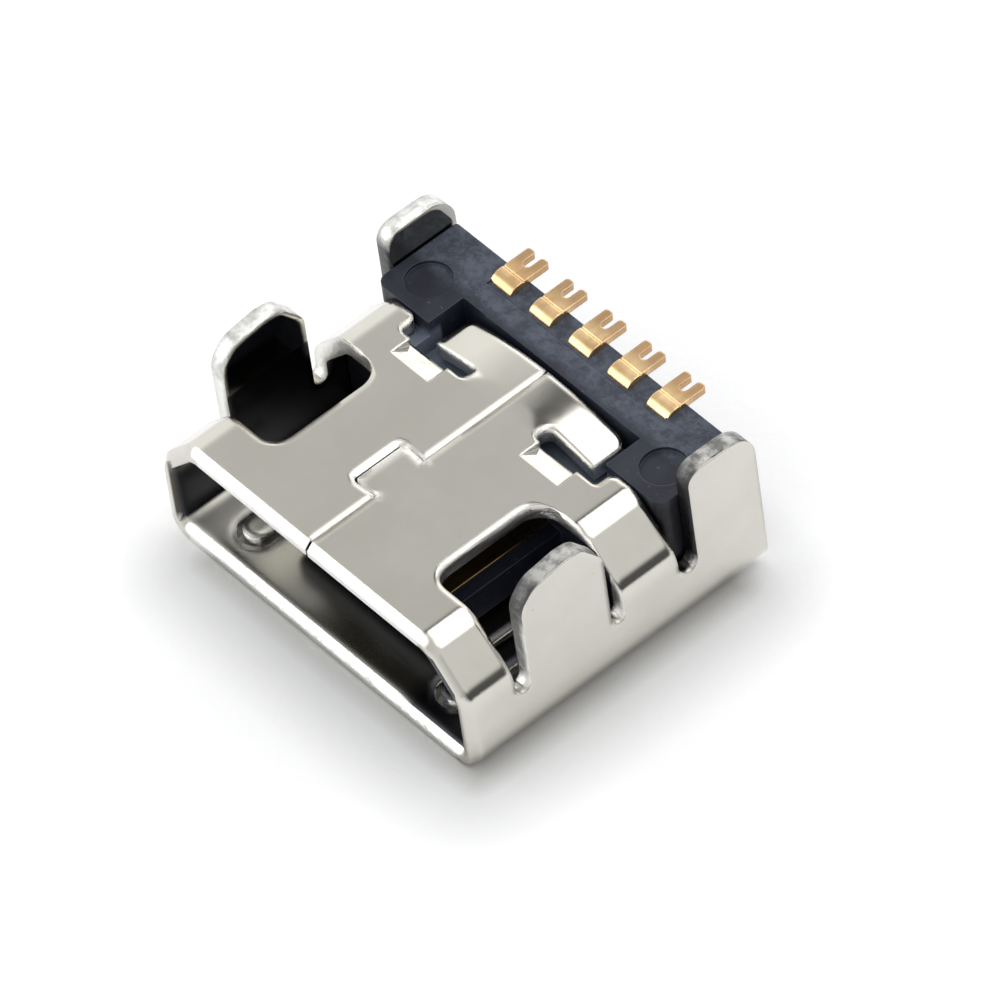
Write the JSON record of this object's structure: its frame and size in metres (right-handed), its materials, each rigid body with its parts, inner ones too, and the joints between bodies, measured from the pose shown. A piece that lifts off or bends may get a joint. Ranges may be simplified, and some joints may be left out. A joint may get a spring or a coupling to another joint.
{
  "type": "micro socket for a circuit board",
  "caption": "Folded sheet-metal socket with upright solder legs, a black moulded tongue and gold terminals ending in forked tails.",
  "frame": {"origin": "centre of the bottom of the bounding box: on the outer face of the sheet's wide face, midway across the mouth and midway between the mouth's lip and the ends of the tails", "axes": "+X across the mouth, along the socket's width; +Y from the mouth towards the tails, so a plug goes in along +Y; +Z from the wide face towards the side that faces the circuit board, where the legs and ears point"},
  "size_m": [0.0074, 0.0066, 0.0033],
  "materials": {
    "shell_metal": "bright nickel plating on formed sheet steel",
    "moulding": "moulded, fine matt",
    "terminal_gold": "bright gold plating on a copper alloy strip"
  },
  "bodies": {
    "root": {"shell": "shell_metal", "housing": "moulding", "contact_1_vbus": "terminal_gold", "contact_2_dminus": "terminal_gold", "contact_3_dplus": "terminal_gold", "contact_4_id": "terminal_gold", "contact_5_ground": "terminal_gold"}
  },
  "joints": []
}
